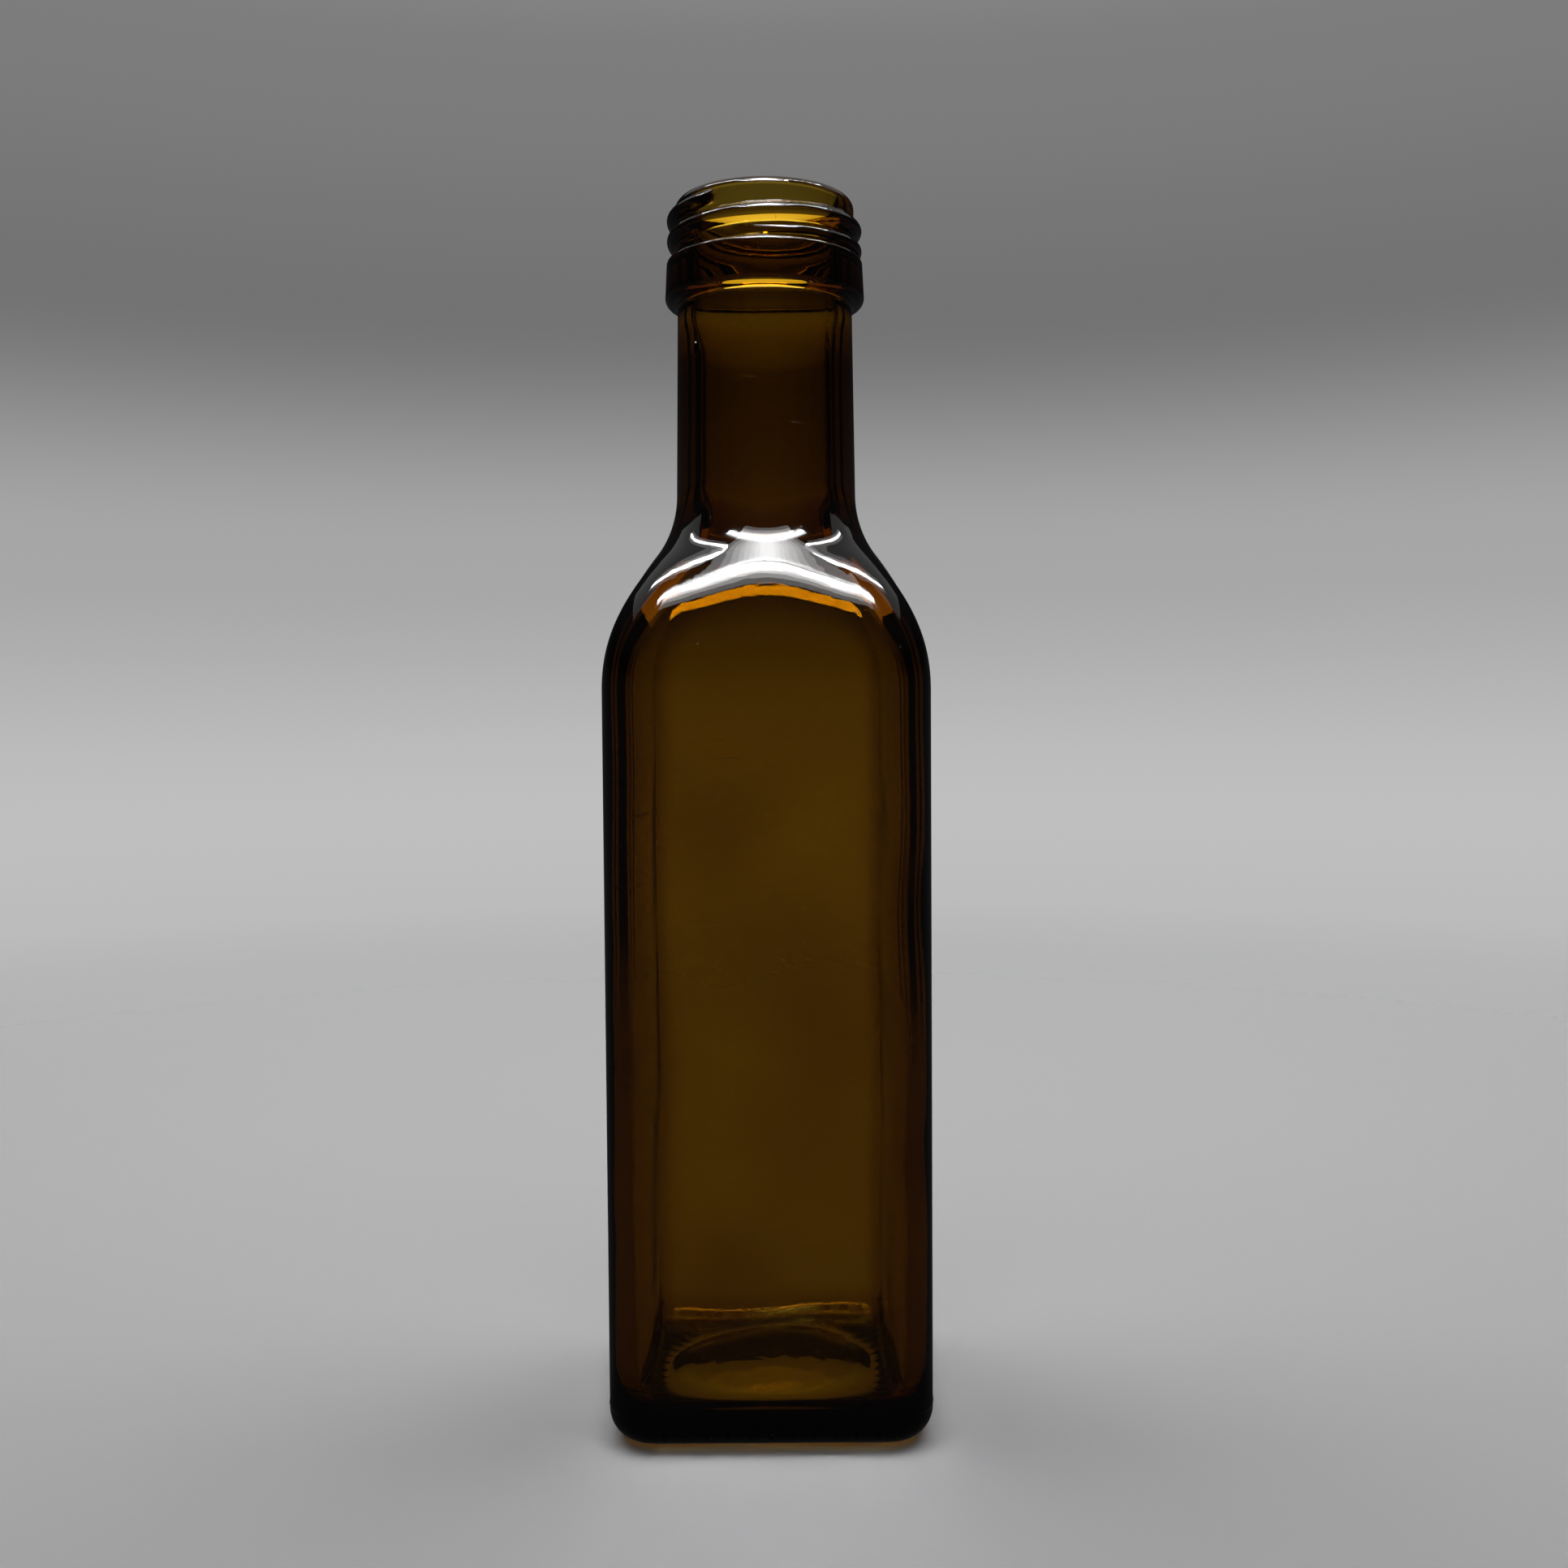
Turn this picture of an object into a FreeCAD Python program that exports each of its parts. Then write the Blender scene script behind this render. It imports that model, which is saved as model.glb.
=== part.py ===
import FreeCAD, Part
import math
import os
import Sketcher

# Square long-necked oil bottle: one piece of moulded glass, open at the mouth.
# Millimetres, +Z up, origin at the middle of the base on the surface that it stands on.
DIMENSIONS = {
    "overall_height": 191.0,
    # Square body
    "body_width": 49.5,
    "body_corner": 7.1,
    "heel_radius": 4.6,
    # Shoulder, from the square body to the round foot of the neck
    "shoulder_height": 113.5,
    "neck_root_height": 144.9,
    "neck_root_diameter": 28.5,
    "neck_root_curve": 16.8,
    "rounding_power": 3.0,
    "lead": 4.0,
    # Neck, collar and the plain wall that carries the cap's thread
    "neck_top_diameter": 27.7,
    "collar_bottom": 174.5,
    "collar_top": 182.4,
    "collar_low_diameter": 31.6,
    "collar_top_diameter": 31.1,
    "collar_low_edge": 1.3,
    "collar_top_edge": 1.0,
    "collar_root_edge": 0.6,
    "finish_diameter": 28.4,
    "rim_edge": 1.5,
    # Hollow inside
    "wall": 3.0,
    "inner_corner": 5.6,
    "mouth_diameter": 22.6,
    "mouth_depth": 18.0,
    "lip_edge": 1.2,
    "throat_depth": 30.0,
    "floor_height": 4.5,
    "floor_curve": 4.0,
    # Push-up in the base, and the dome that it makes of the floor inside
    "push_up_diameter": 31.0,
    "push_up_height": 3.2,
    "push_up_edge": 1.5,
    "dome_diameter": 30.0,
    "dome_height": 3.0,
}

# The shoulder's outline is an ogee: one arc out of the body and one into the neck, tangent to each other.
BODY_HALF = "dims.body_width / 2"
NECK_HALF = "dims.neck_root_diameter / 2"
SHOULDER_RISE = "(dims.neck_root_height - dims.shoulder_height)"
SHOULDER_TURN = f"(2 * atan(({BODY_HALF} - {NECK_HALF}) / {SHOULDER_RISE}))"
SHOULDER_CURVE = f"({SHOULDER_RISE} / sin({SHOULDER_TURN}) - dims.neck_root_curve)"
BODY_ARC_STATIONS = (0.25, 0.5, 0.75, 1.0)
NECK_ARC_STATIONS = (0.75, 0.5, 0.25)

# The straight body ends a little below the shoulder's first arc, and the neck starts a little above its last.
BODY_TOP = "dims.shoulder_height - dims.lead"
NECK_FOOT = "dims.neck_root_height + dims.lead"
THROAT = "dims.overall_height - dims.throat_depth"

# A side that bows less than this radius is drawn straight. A round section has its joints at the split angle.
FLATTEST_BOW = 1500.0
ROUND_SPLIT = math.radians(17.0)
QUARTER = math.pi / 2

ORIGIN_POINT = (-1, 1)
FIRST_AXIS = -1
SECOND_AXIS = -2
SAME_PLACE = 1e-4

# Features that take glass away, and the least change in cubic millimetres that any feature makes
CUTS = ("PartDesign::Pocket", "PartDesign::Groove", "PartDesign::SubtractiveLoft")
LEAST_CHANGE = 100.0

doc = FreeCAD.newDocument("oil_bottle")
sheet = doc.addObject("Spreadsheet::Sheet", "dims")
for row, (alias, value) in enumerate(DIMENSIONS.items(), start=1):
    sheet.set(f"A{row}", alias)
    sheet.set(f"B{row}", str(value))
    sheet.setAlias(f"B{row}", alias)
doc.recompute()


def size(expression):
    """The number that an expression on the sheet comes to."""
    found = sheet.evalExpression(expression)
    return getattr(found, "Value", found)


def new_sketch(name, plane, height=None):
    """A sketch on one of the bottle's origin planes, raised to a height above it."""
    sketch = bottle.newObject("Sketcher::SketchObject", name)
    support = next(p for p in bottle.Origin.OriginFeatures if p.Role == plane)
    sketch.AttachmentSupport = (support, [""])
    sketch.MapMode = "FlatFace"
    if height is not None:
        sketch.setExpression("AttachmentOffset.Base.z", height)
    return sketch


def tie(sketch, kind, *items):
    """Adds a constraint with no value of its own."""
    sketch.addConstraint(Sketcher.Constraint(kind, *items))


def bind(sketch, name, expression, kind, *items):
    """Adds a constraint whose value follows the sheet."""
    index = sketch.addConstraint(Sketcher.Constraint(kind, *items, size(expression)))
    sketch.renameConstraint(index, name)
    sketch.setExpression(f"Constraints.{name}", expression)


def turned(x, y, quarters):
    """A point turned about the bottle's axis by a number of quarter turns."""
    cosine, sine = math.cos(quarters * QUARTER), math.sin(quarters * QUARTER)
    return FreeCAD.Vector(x * cosine - y * sine, x * sine + y * cosine, 0)


def arc(centre, radius, start, end):
    """An arc in the sketch's plane, counter-clockwise between two angles."""
    circle = Part.Circle(centre, FreeCAD.Vector(0, 0, 1), radius)
    return Part.ArcOfCircle(circle, start, end)


def join_corners(sketch, sides, corners, corner):
    """Makes each corner arc tangent to the sides before and after it, and all four alike."""
    for quarters in range(4):
        tie(sketch, "Tangent", sides[quarters], 2, corners[quarters], 1)
        tie(sketch, "Tangent", corners[quarters], 2, sides[(quarters + 1) % 4], 1)
    for other in corners[1:]:
        tie(sketch, "Equal", corners[0], other)
    bind(sketch, "corner", corner, "Radius", corners[0])


def square_section(name, height, half, corner):
    """A square with straight sides and round corners."""
    sketch = new_sketch(name, "XY_Plane", height)
    flat = size(half) - size(corner)
    sides, corners = [], []
    for quarters in range(4):
        low, high = turned(size(half), -flat, quarters), turned(size(half), flat, quarters)
        facing = quarters * QUARTER
        round_corner = arc(turned(flat, flat, quarters), size(corner), facing, facing + QUARTER)
        sides.append(sketch.addGeometry(Part.LineSegment(low, high)))
        corners.append(sketch.addGeometry(round_corner))
    join_corners(sketch, sides, corners, corner)
    for quarters, side in enumerate(sides):
        tie(sketch, ("Vertical", "Horizontal")[quarters % 2], side)
        ends = (*ORIGIN_POINT, side, 1) if quarters < 2 else (side, 1, *ORIGIN_POINT)
        bind(sketch, f"half_{quarters}", half, ("DistanceX", "DistanceY")[quarters % 2], *ends)
    return sketch


def bowed_section(name, height, half, corner, bow):
    """A square with round corners whose sides bow out on a large radius, tangent to the corners."""
    sketch = new_sketch(name, "XY_Plane", height)
    offset = f"{bow} - {half}"
    spread = 2 * (size(bow) - size(corner)) ** 2 - size(offset) ** 2
    corner_place = (math.sqrt(spread) - size(offset)) / 2
    lean = math.atan2(corner_place, corner_place + size(offset))
    sides, corners = [], []
    for quarters in range(4):
        facing = quarters * QUARTER
        side = arc(turned(-size(offset), 0, quarters), size(bow), facing - lean, facing + lean)
        centre = turned(corner_place, corner_place, quarters)
        round_corner = arc(centre, size(corner), facing + lean, facing + QUARTER - lean)
        sides.append(sketch.addGeometry(side))
        corners.append(sketch.addGeometry(round_corner))
    join_corners(sketch, sides, corners, corner)
    for other in sides[1:]:
        tie(sketch, "Equal", sides[0], other)
    bind(sketch, "bow", bow, "Radius", sides[0])
    for quarters, side in enumerate(sides):
        tie(sketch, "PointOnObject", side, 3, (FIRST_AXIS, SECOND_AXIS)[quarters % 2])
        ends = (side, 3, *ORIGIN_POINT) if quarters < 2 else (*ORIGIN_POINT, side, 3)
        bind(sketch, f"offset_{quarters}", offset, ("DistanceX", "DistanceY")[quarters % 2], *ends)
    return sketch


def round_section(name, height, radius):
    """A circle in eight arcs, one for each side and corner of the square sections below it."""
    sketch = new_sketch(name, "XY_Plane", height)
    arcs = []
    for quarters in range(4):
        facing = quarters * QUARTER
        for start, end in ((-ROUND_SPLIT, ROUND_SPLIT), (ROUND_SPLIT, QUARTER - ROUND_SPLIT)):
            piece = arc(FreeCAD.Vector(0, 0, 0), size(radius), facing + start, facing + end)
            arcs.append(sketch.addGeometry(piece))
    for piece in arcs:
        tie(sketch, "Coincident", piece, 3, *ORIGIN_POINT)
    for other in arcs[1:]:
        tie(sketch, "Equal", arcs[0], other)
    bind(sketch, "radius", radius, "Radius", arcs[0])
    return sketch


def neck_radius(height):
    """Outside radius of the neck, which narrows evenly from the shoulder to the collar."""
    share = f"(({height}) - dims.neck_root_height) / (dims.collar_bottom - dims.neck_root_height)"
    return f"({NECK_HALF} + (dims.neck_top_diameter / 2 - {NECK_HALF}) * {share})"


def ogee_stations(inset):
    """Height and half width at stations up the shoulder's outline, set in by an even thickness."""
    stations = []
    body_arc = f"({SHOULDER_CURVE} - {inset})"
    for share in BODY_ARC_STATIONS:
        height = f"(dims.shoulder_height + {body_arc} * sin({share} * {SHOULDER_TURN}))"
        half = f"({BODY_HALF} - {inset} - {body_arc} * (1 - cos({share} * {SHOULDER_TURN})))"
        stations.append((height, half))
    neck_arc = f"(dims.neck_root_curve + {inset})"
    for share in NECK_ARC_STATIONS:
        height = f"(dims.neck_root_height - {neck_arc} * sin({share} * {SHOULDER_TURN}))"
        half = f"({NECK_HALF} - {inset} + {neck_arc} * (1 - cos({share} * {SHOULDER_TURN})))"
        stations.append((height, half))
    return stations


def shoulder_sections(name, inset, corner):
    """Sections from square to round: corners grow and sides bow until they meet in a circle."""
    sections = []
    for height in (BODY_TOP, "dims.shoulder_height"):
        sections.append(square_section(f"{name}_{len(sections)}", height, f"{BODY_HALF} - {inset}", corner))
    for height, half in ogee_stations(inset):
        label = f"{name}_{len(sections)}"
        rounding = f"((({height} - dims.shoulder_height) / {SHOULDER_RISE}) ^ dims.rounding_power)"
        grown_corner = f"({corner} + ({half} - {corner}) * {rounding})"
        bow = f"({half} / {rounding})"
        if size(bow) > FLATTEST_BOW:
            sections.append(square_section(label, height, half, grown_corner))
        else:
            sections.append(bowed_section(label, height, half, grown_corner, bow))
    for height in ("dims.neck_root_height", NECK_FOOT):
        radius = f"{neck_radius(height)} - {inset}"
        sections.append(round_section(f"{name}_{len(sections)}", height, radius))
    return sections


def profile(name, corners):
    """A closed outline beside the axis with straight runs, through corners given as radius and height."""
    sketch = new_sketch(name, "XZ_Plane")
    places = [FreeCAD.Vector(size(radius), size(height), 0) for radius, height in corners]
    runs = []
    for start, end in zip(places, places[1:] + places[:1]):
        runs.append(sketch.addGeometry(Part.LineSegment(start, end)))
    for run, following in zip(runs, runs[1:] + runs[:1]):
        tie(sketch, "Coincident", run, 2, following, 1)
    for number, (run, (radius, height)) in enumerate(zip(runs, corners)):
        if size(radius) > 0:
            bind(sketch, f"radius_{number}", radius, "DistanceX", *ORIGIN_POINT, run, 1)
        else:
            tie(sketch, "PointOnObject", run, 1, SECOND_AXIS)
        bind(sketch, f"height_{number}", height, "DistanceY", *ORIGIN_POINT, run, 1)
    return sketch


def dome_profile(name, base_height, radius, rise):
    """Half of a low dome beside the axis: a flat base with an arc over it."""
    sketch = new_sketch(name, "XZ_Plane")
    low, half, tall = size(base_height), size(radius), size(rise)
    ball = (half ** 2 + tall ** 2) / (2 * tall)
    foot, rim = FreeCAD.Vector(0, low, 0), FreeCAD.Vector(half, low, 0)
    top, centre = FreeCAD.Vector(0, low + tall, 0), FreeCAD.Vector(0, low + tall - ball, 0)
    base = sketch.addGeometry(Part.LineSegment(foot, rim))
    crown = sketch.addGeometry(arc(centre, ball, math.asin((ball - tall) / ball), QUARTER))
    axis = sketch.addGeometry(Part.LineSegment(top, foot))
    tie(sketch, "Coincident", base, 2, crown, 1)
    tie(sketch, "Coincident", crown, 2, axis, 1)
    tie(sketch, "Coincident", axis, 2, base, 1)
    tie(sketch, "Horizontal", base)
    for line, point in ((axis, 1), (base, 1), (crown, 3)):
        tie(sketch, "PointOnObject", line, point, SECOND_AXIS)
    bind(sketch, "radius", radius, "DistanceX", base, 1, base, 2)
    bind(sketch, "rise", rise, "DistanceY", base, 1, axis, 1)
    if low > 0:
        bind(sketch, "base", base_height, "DistanceY", *ORIGIN_POINT, base, 1)
    else:
        tie(sketch, "PointOnObject", base, 1, FIRST_AXIS)
    return sketch


def make(feature, glass_before):
    """Builds a feature and checks that it adds glass, or that a cut takes some away."""
    doc.recompute()
    gained = feature.Shape.Volume - glass_before
    if gained > 0 if feature.TypeId in CUTS else gained < 0:
        raise RuntimeError(f"{feature.Label} works the wrong way: {gained:.1f} cubic mm")
    if abs(gained) < LEAST_CHANGE:
        raise RuntimeError(f"{feature.Label} changes nothing")


def glass_so_far():
    """Volume of the bottle as built up to here."""
    return bottle.Shape.Volume if bottle.Tip else 0.0


def pull(kind, name, outline, length):
    """A straight pull of an outline upwards, which adds or removes glass."""
    before = glass_so_far()
    feature = bottle.newObject(f"PartDesign::{kind}", name)
    feature.Profile = outline
    feature.Reversed = kind == "Pocket"
    feature.setExpression("Length", length)
    make(feature, before)


def loft(kind, name, sections):
    """A smooth skin over sections, which adds or removes glass."""
    before = glass_so_far()
    feature = bottle.newObject(f"PartDesign::{kind}", name)
    feature.Profile = sections[0]
    feature.Sections = sections[1:]
    make(feature, before)


def turn(kind, name, outline):
    """A full turn of an outline about the bottle's axis, which adds or removes glass."""
    before = glass_so_far()
    feature = bottle.newObject(f"PartDesign::{kind}", name)
    feature.Profile = outline
    feature.ReferenceAxis = (outline, ["V_Axis"])
    feature.Angle = 360
    make(feature, before)


def on_level(edge, height):
    """Whether an edge lies in the level plane at a height."""
    box = edge.BoundBox
    return max(abs(box.ZMin - size(height)), abs(box.ZMax - size(height))) < SAME_PLACE


def round_edges(name, radius, height, diameter=None):
    """Rounds the edges at a height: all of them, or those on a circle of one diameter about the axis."""
    base = bottle.Tip
    names = []
    for number, edge in enumerate(base.Shape.Edges, start=1):
        if not on_level(edge, height):
            continue
        if diameter is None:
            names.append(f"Edge{number}")
        elif isinstance(edge.Curve, Part.Circle) and abs(2 * edge.Curve.Radius - size(diameter)) < SAME_PLACE:
            names.append(f"Edge{number}")
    feature = bottle.newObject("PartDesign::Fillet", name)
    feature.Base = (base, names)
    feature.setExpression("Radius", radius)
    doc.recompute()


bottle = doc.addObject("PartDesign::Body", "bottle")
bottle.Label = "bottle"

# Square body, straight up to just below the shoulder
body_outline = square_section("body_outline", "0", BODY_HALF, "dims.body_corner")
pull("Pad", "body", body_outline, BODY_TOP)

# Shoulder, which goes from square to round as it draws in to the neck
loft("AdditiveLoft", "shoulder", shoulder_sections("shoulder_section", "0", "dims.body_corner"))

# Neck, collar, and the finish that the cap screws on to
turn("Revolution", "neck_and_finish", profile("finish_profile", [
    ("0", NECK_FOOT),
    (neck_radius(NECK_FOOT), NECK_FOOT),
    ("dims.neck_top_diameter / 2", "dims.collar_bottom"),
    ("dims.collar_low_diameter / 2", "dims.collar_bottom"),
    ("dims.collar_top_diameter / 2", "dims.collar_top"),
    ("dims.finish_diameter / 2", "dims.collar_top"),
    ("dims.finish_diameter / 2", "dims.overall_height"),
    ("0", "dims.overall_height"),
]))

# Heel, and the push-up that leaves a flat bearing ring round the base
round_edges("heel", "dims.heel_radius", "0")
push_up = dome_profile("push_up_profile", "0", "dims.push_up_diameter / 2", "dims.push_up_height")
turn("Groove", "push_up", push_up)

# Mouth, throat and the inside of the neck
turn("Groove", "mouth_and_throat", profile("mouth_profile", [
    ("0", "dims.overall_height"),
    ("dims.mouth_diameter / 2", "dims.overall_height"),
    ("dims.mouth_diameter / 2", "dims.overall_height - dims.mouth_depth"),
    (f"{neck_radius(THROAT)} - dims.wall", THROAT),
    (f"{neck_radius(NECK_FOOT)} - dims.wall", NECK_FOOT),
    ("0", NECK_FOOT),
]))

# Hollow of the shoulder and the body, down to a floor that the push-up domes
hollow_sections = shoulder_sections("hollow_section", "dims.wall", "dims.inner_corner")
loft("SubtractiveLoft", "shoulder_hollow", hollow_sections)
hollow_half = f"{BODY_HALF} - dims.wall"
hollow_outline = square_section("hollow_outline", "dims.floor_height", hollow_half, "dims.inner_corner")
pull("Pocket", "body_hollow", hollow_outline, f"{BODY_TOP} - dims.floor_height")
round_edges("floor_edge", "dims.floor_curve", "dims.floor_height")
dome = dome_profile("dome_outline", "dims.floor_height", "dims.dome_diameter / 2", "dims.dome_height")
turn("Revolution", "floor_dome", dome)

# Rounded rims, as the fire polish leaves them
round_edges("rim", "dims.rim_edge", "dims.overall_height", "dims.finish_diameter")
round_edges("lip", "dims.lip_edge", "dims.overall_height", "dims.mouth_diameter")
round_edges("collar_low_rim", "dims.collar_low_edge", "dims.collar_bottom", "dims.collar_low_diameter")
round_edges("collar_top_rim", "dims.collar_top_edge", "dims.collar_top", "dims.collar_top_diameter")
round_edges("collar_root", "dims.collar_root_edge", "dims.collar_bottom", "dims.neck_top_diameter")
round_edges("push_up_rim", "dims.push_up_edge", "0", "dims.push_up_diameter")

for item in doc.Objects:
    if "Invalid" in item.State or "Error" in item.State:
        raise RuntimeError(f"{item.Label} did not build: {item.State}")
if bottle.Shape.isNull() or not bottle.Shape.isValid() or len(bottle.Shape.Solids) != 1:
    raise RuntimeError("the bottle is not one valid solid")

os.makedirs("parts", exist_ok=True)
bottle.Shape.exportStep(f"parts/{bottle.Label}.step")
print(f"bottle: {bottle.Shape.Volume / 1000:.1f} ml of glass, {len(bottle.Shape.Faces)} faces")
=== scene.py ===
import math

import bmesh
import bpy
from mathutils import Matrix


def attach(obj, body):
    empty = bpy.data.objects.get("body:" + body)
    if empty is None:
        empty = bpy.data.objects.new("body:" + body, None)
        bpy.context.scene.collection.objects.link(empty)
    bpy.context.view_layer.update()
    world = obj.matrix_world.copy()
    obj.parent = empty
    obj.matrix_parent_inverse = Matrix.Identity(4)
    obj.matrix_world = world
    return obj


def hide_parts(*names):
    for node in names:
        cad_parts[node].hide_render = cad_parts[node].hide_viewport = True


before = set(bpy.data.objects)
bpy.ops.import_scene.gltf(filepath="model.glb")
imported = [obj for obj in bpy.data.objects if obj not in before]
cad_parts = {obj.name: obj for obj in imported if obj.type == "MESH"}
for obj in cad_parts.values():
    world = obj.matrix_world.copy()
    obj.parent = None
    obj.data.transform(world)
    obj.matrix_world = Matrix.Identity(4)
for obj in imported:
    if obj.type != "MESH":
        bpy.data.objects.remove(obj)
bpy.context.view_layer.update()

# Bottle, outside. One piece of amber-brown glass, blown in a mould of two halves that part on a diagonal,
# over a base plate. The mould gives the square body, the shoulder that turns round, the neck and the collar.
MM = 0.001
SIDE_PARTS, CORNER_PARTS = 40, 10
BODY_HALF, BODY_CORNER, BODY_ROWS = 24.68, 7.1, 16
HEEL = 4.6
PARTING_LINE, PARTING_RIDGE = 5.4, 0.07
PARTING_ROWS = ((5.15, 0), (5.3, 1), (5.45, 1), (5.6, 0))
SHOULDER, SHOULDER_ROWS, ROUNDING_POWER = 113.5, (26, 20), 3.0
NECK_ROOT, NECK_ROOT_HALF, NECK_ROOT_CURVE = 144.9, 14.25, 16.8
NECK_TOP_HALF, NECK_ROWS = 13.85, 48
COLLAR_BOTTOM, COLLAR_TOP, COLLAR_ROWS = 174.5, 181.7, 4
COLLAR_LOW_HALF, COLLAR_TOP_HALF = 15.8, 15.55
COLLAR_ROOT_EDGE, COLLAR_LOW_EDGE, COLLAR_TOP_EDGE = 0.6, 1.3, 0.8
FINISH_HALF, FINISH_ROWS = 14.2, 52
RIM, RIM_EDGE = 191.0, 1.5


def steps(count):
    """Shares from just above nothing to one, evenly spaced."""
    return [number / count for number in range(1, count + 1)]


def measure(skin):
    """Height of the selected end of the glass, and its half widths on the flats, the corners and average."""
    points = [v.co / MM for v in bmesh.from_edit_mesh(skin.data).verts if v.select]
    reach = [math.hypot(p.x, p.y) for p in points]
    flat = max(abs(p.x) for p in points)
    return {"height": points[0].z, "flat": flat, "corner": max(reach), "mean": sum(reach) / len(reach)}


def gather(name, half, corner, height):
    """A flat rounded square of glass in edit mode, its sides and corners divided evenly."""
    bpy.ops.object.select_all(action="DESELECT")
    bpy.ops.mesh.primitive_plane_add(size=2 * half * MM, location=(0, 0, height * MM))
    skin = bpy.context.object
    skin.name = name
    bpy.ops.object.transform_apply(location=True, rotation=True, scale=True)
    bpy.ops.object.mode_set(mode="EDIT")
    bpy.ops.mesh.select_all(action="SELECT")
    bpy.ops.mesh.bevel(offset=corner * MM, segments=CORNER_PARTS, profile=0.5, affect="VERTICES")
    bpy.ops.mesh.select_all(action="DESELECT")
    sheet = bmesh.from_edit_mesh(skin.data)
    for edge in sheet.edges:
        if edge.calc_length() > corner * MM:
            edge.select_set(True)
    bmesh.update_edit_mesh(skin.data)
    bpy.ops.mesh.subdivide(number_cuts=SIDE_PARTS - 1)
    bpy.ops.mesh.select_all(action="SELECT")
    return skin, measure(skin)


def draw(end, height, flat, corner=None):
    """Draws the selected end of the glass on to a height, and turns it rounder as its corners come in."""
    corner = corner or flat
    bpy.ops.mesh.extrude_region_move(TRANSFORM_OT_translate={"value": (0, 0, (height - end["height"]) * MM)})
    too_square = end["corner"] - end["flat"] * corner / flat
    if too_square > 1e-4:
        turn = too_square / (too_square + end["mean"] * (corner / flat - 1))
        bpy.ops.transform.tosphere(value=turn)
        end["flat"] += turn * (end["mean"] - end["flat"])
        end["corner"] += turn * (end["mean"] - end["corner"])
    grow = flat / end["flat"]
    bpy.ops.transform.resize(value=(grow, grow, 1), center_override=(0, 0, height * MM))
    for across in ("flat", "corner", "mean"):
        end[across] *= grow
    end["height"] = height


def across_corners(half, corner, rounding):
    """Half width across the corners of a square whose corners have grown and whose sides have bowed."""
    if rounding < 1e-4:
        return math.sqrt(2) * (half - corner) + corner
    bow = half / rounding
    middle = (math.sqrt(2 * (bow - corner) ** 2 - (bow - half) ** 2) - (bow - half)) / 2
    return math.sqrt(2) * middle + corner


def draw_shoulder(end, foot, foot_half, top, top_half, top_curve, corner):
    """Draws the glass up the two arcs of a shoulder, from a square foot to a round top."""
    rise = top - foot
    lean = 2 * math.atan((foot_half - top_half) / rise)
    foot_curve = rise / math.sin(lean) - top_curve
    foot_rows, top_rows = SHOULDER_ROWS
    outline = []
    for share in steps(foot_rows):
        turn = share * lean
        outline.append((foot + foot_curve * math.sin(turn), foot_half - foot_curve * (1 - math.cos(turn))))
    for share in steps(top_rows):
        turn = (1 - share) * lean
        outline.append((top - top_curve * math.sin(turn), top_half + top_curve * (1 - math.cos(turn))))
    for height, half in outline:
        rounding = ((height - foot) / rise) ** ROUNDING_POWER
        grown = corner + (half - corner) * rounding
        draw(end, height, half, across_corners(half, grown, rounding))


def draw_rounded(end, height, half, edge, start, stop, rows):
    """Draws the glass round an edge, by angles about the edge's centre: 0 faces out and 90 faces up."""
    for share in steps(rows):
        angle = math.radians(start + (stop - start) * share)
        draw(end, height + edge * math.sin(angle), half + edge * math.cos(angle))


def neck_half(height):
    """Half width of the neck, which narrows evenly from the shoulder to the collar."""
    share = (height - NECK_ROOT) / (COLLAR_BOTTOM - NECK_ROOT)
    return NECK_ROOT_HALF + (NECK_TOP_HALF - NECK_ROOT_HALF) * share


outside, end = gather("bottle_glass", BODY_HALF, BODY_CORNER, HEEL)
square = end["corner"] / end["flat"]
for height, ridge in PARTING_ROWS:
    half = BODY_HALF + ridge * PARTING_RIDGE
    draw(end, height, half, half * square)
for share in steps(BODY_ROWS):
    height = PARTING_LINE + (SHOULDER - PARTING_LINE) * share
    draw(end, height, BODY_HALF, BODY_HALF * square)
draw_shoulder(end, SHOULDER, BODY_HALF, NECK_ROOT, NECK_ROOT_HALF, NECK_ROOT_CURVE, BODY_CORNER)
neck_top = COLLAR_BOTTOM - COLLAR_ROOT_EDGE
for share in steps(NECK_ROWS):
    height = NECK_ROOT + (neck_top - NECK_ROOT) * share
    draw(end, height, neck_half(height))
root = neck_half(COLLAR_BOTTOM) + COLLAR_ROOT_EDGE
draw_rounded(end, neck_top, root, -COLLAR_ROOT_EDGE, 0, -90, rows=5)
low, high = COLLAR_BOTTOM + COLLAR_LOW_EDGE, COLLAR_TOP - COLLAR_TOP_EDGE
draw_rounded(end, low, COLLAR_LOW_HALF - COLLAR_LOW_EDGE, COLLAR_LOW_EDGE, -90, 0, rows=9)
for share in steps(COLLAR_ROWS):
    draw(end, low + (high - low) * share, COLLAR_LOW_HALF + (COLLAR_TOP_HALF - COLLAR_LOW_HALF) * share)
draw_rounded(end, high, COLLAR_TOP_HALF - COLLAR_TOP_EDGE, COLLAR_TOP_EDGE, 0, 90, rows=7)
for share in steps(FINISH_ROWS):
    draw(end, COLLAR_TOP + (RIM - RIM_EDGE - COLLAR_TOP) * share, FINISH_HALF)
draw_rounded(end, RIM - RIM_EDGE, FINISH_HALF - RIM_EDGE, RIM_EDGE, 0, 90, rows=9)

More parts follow.
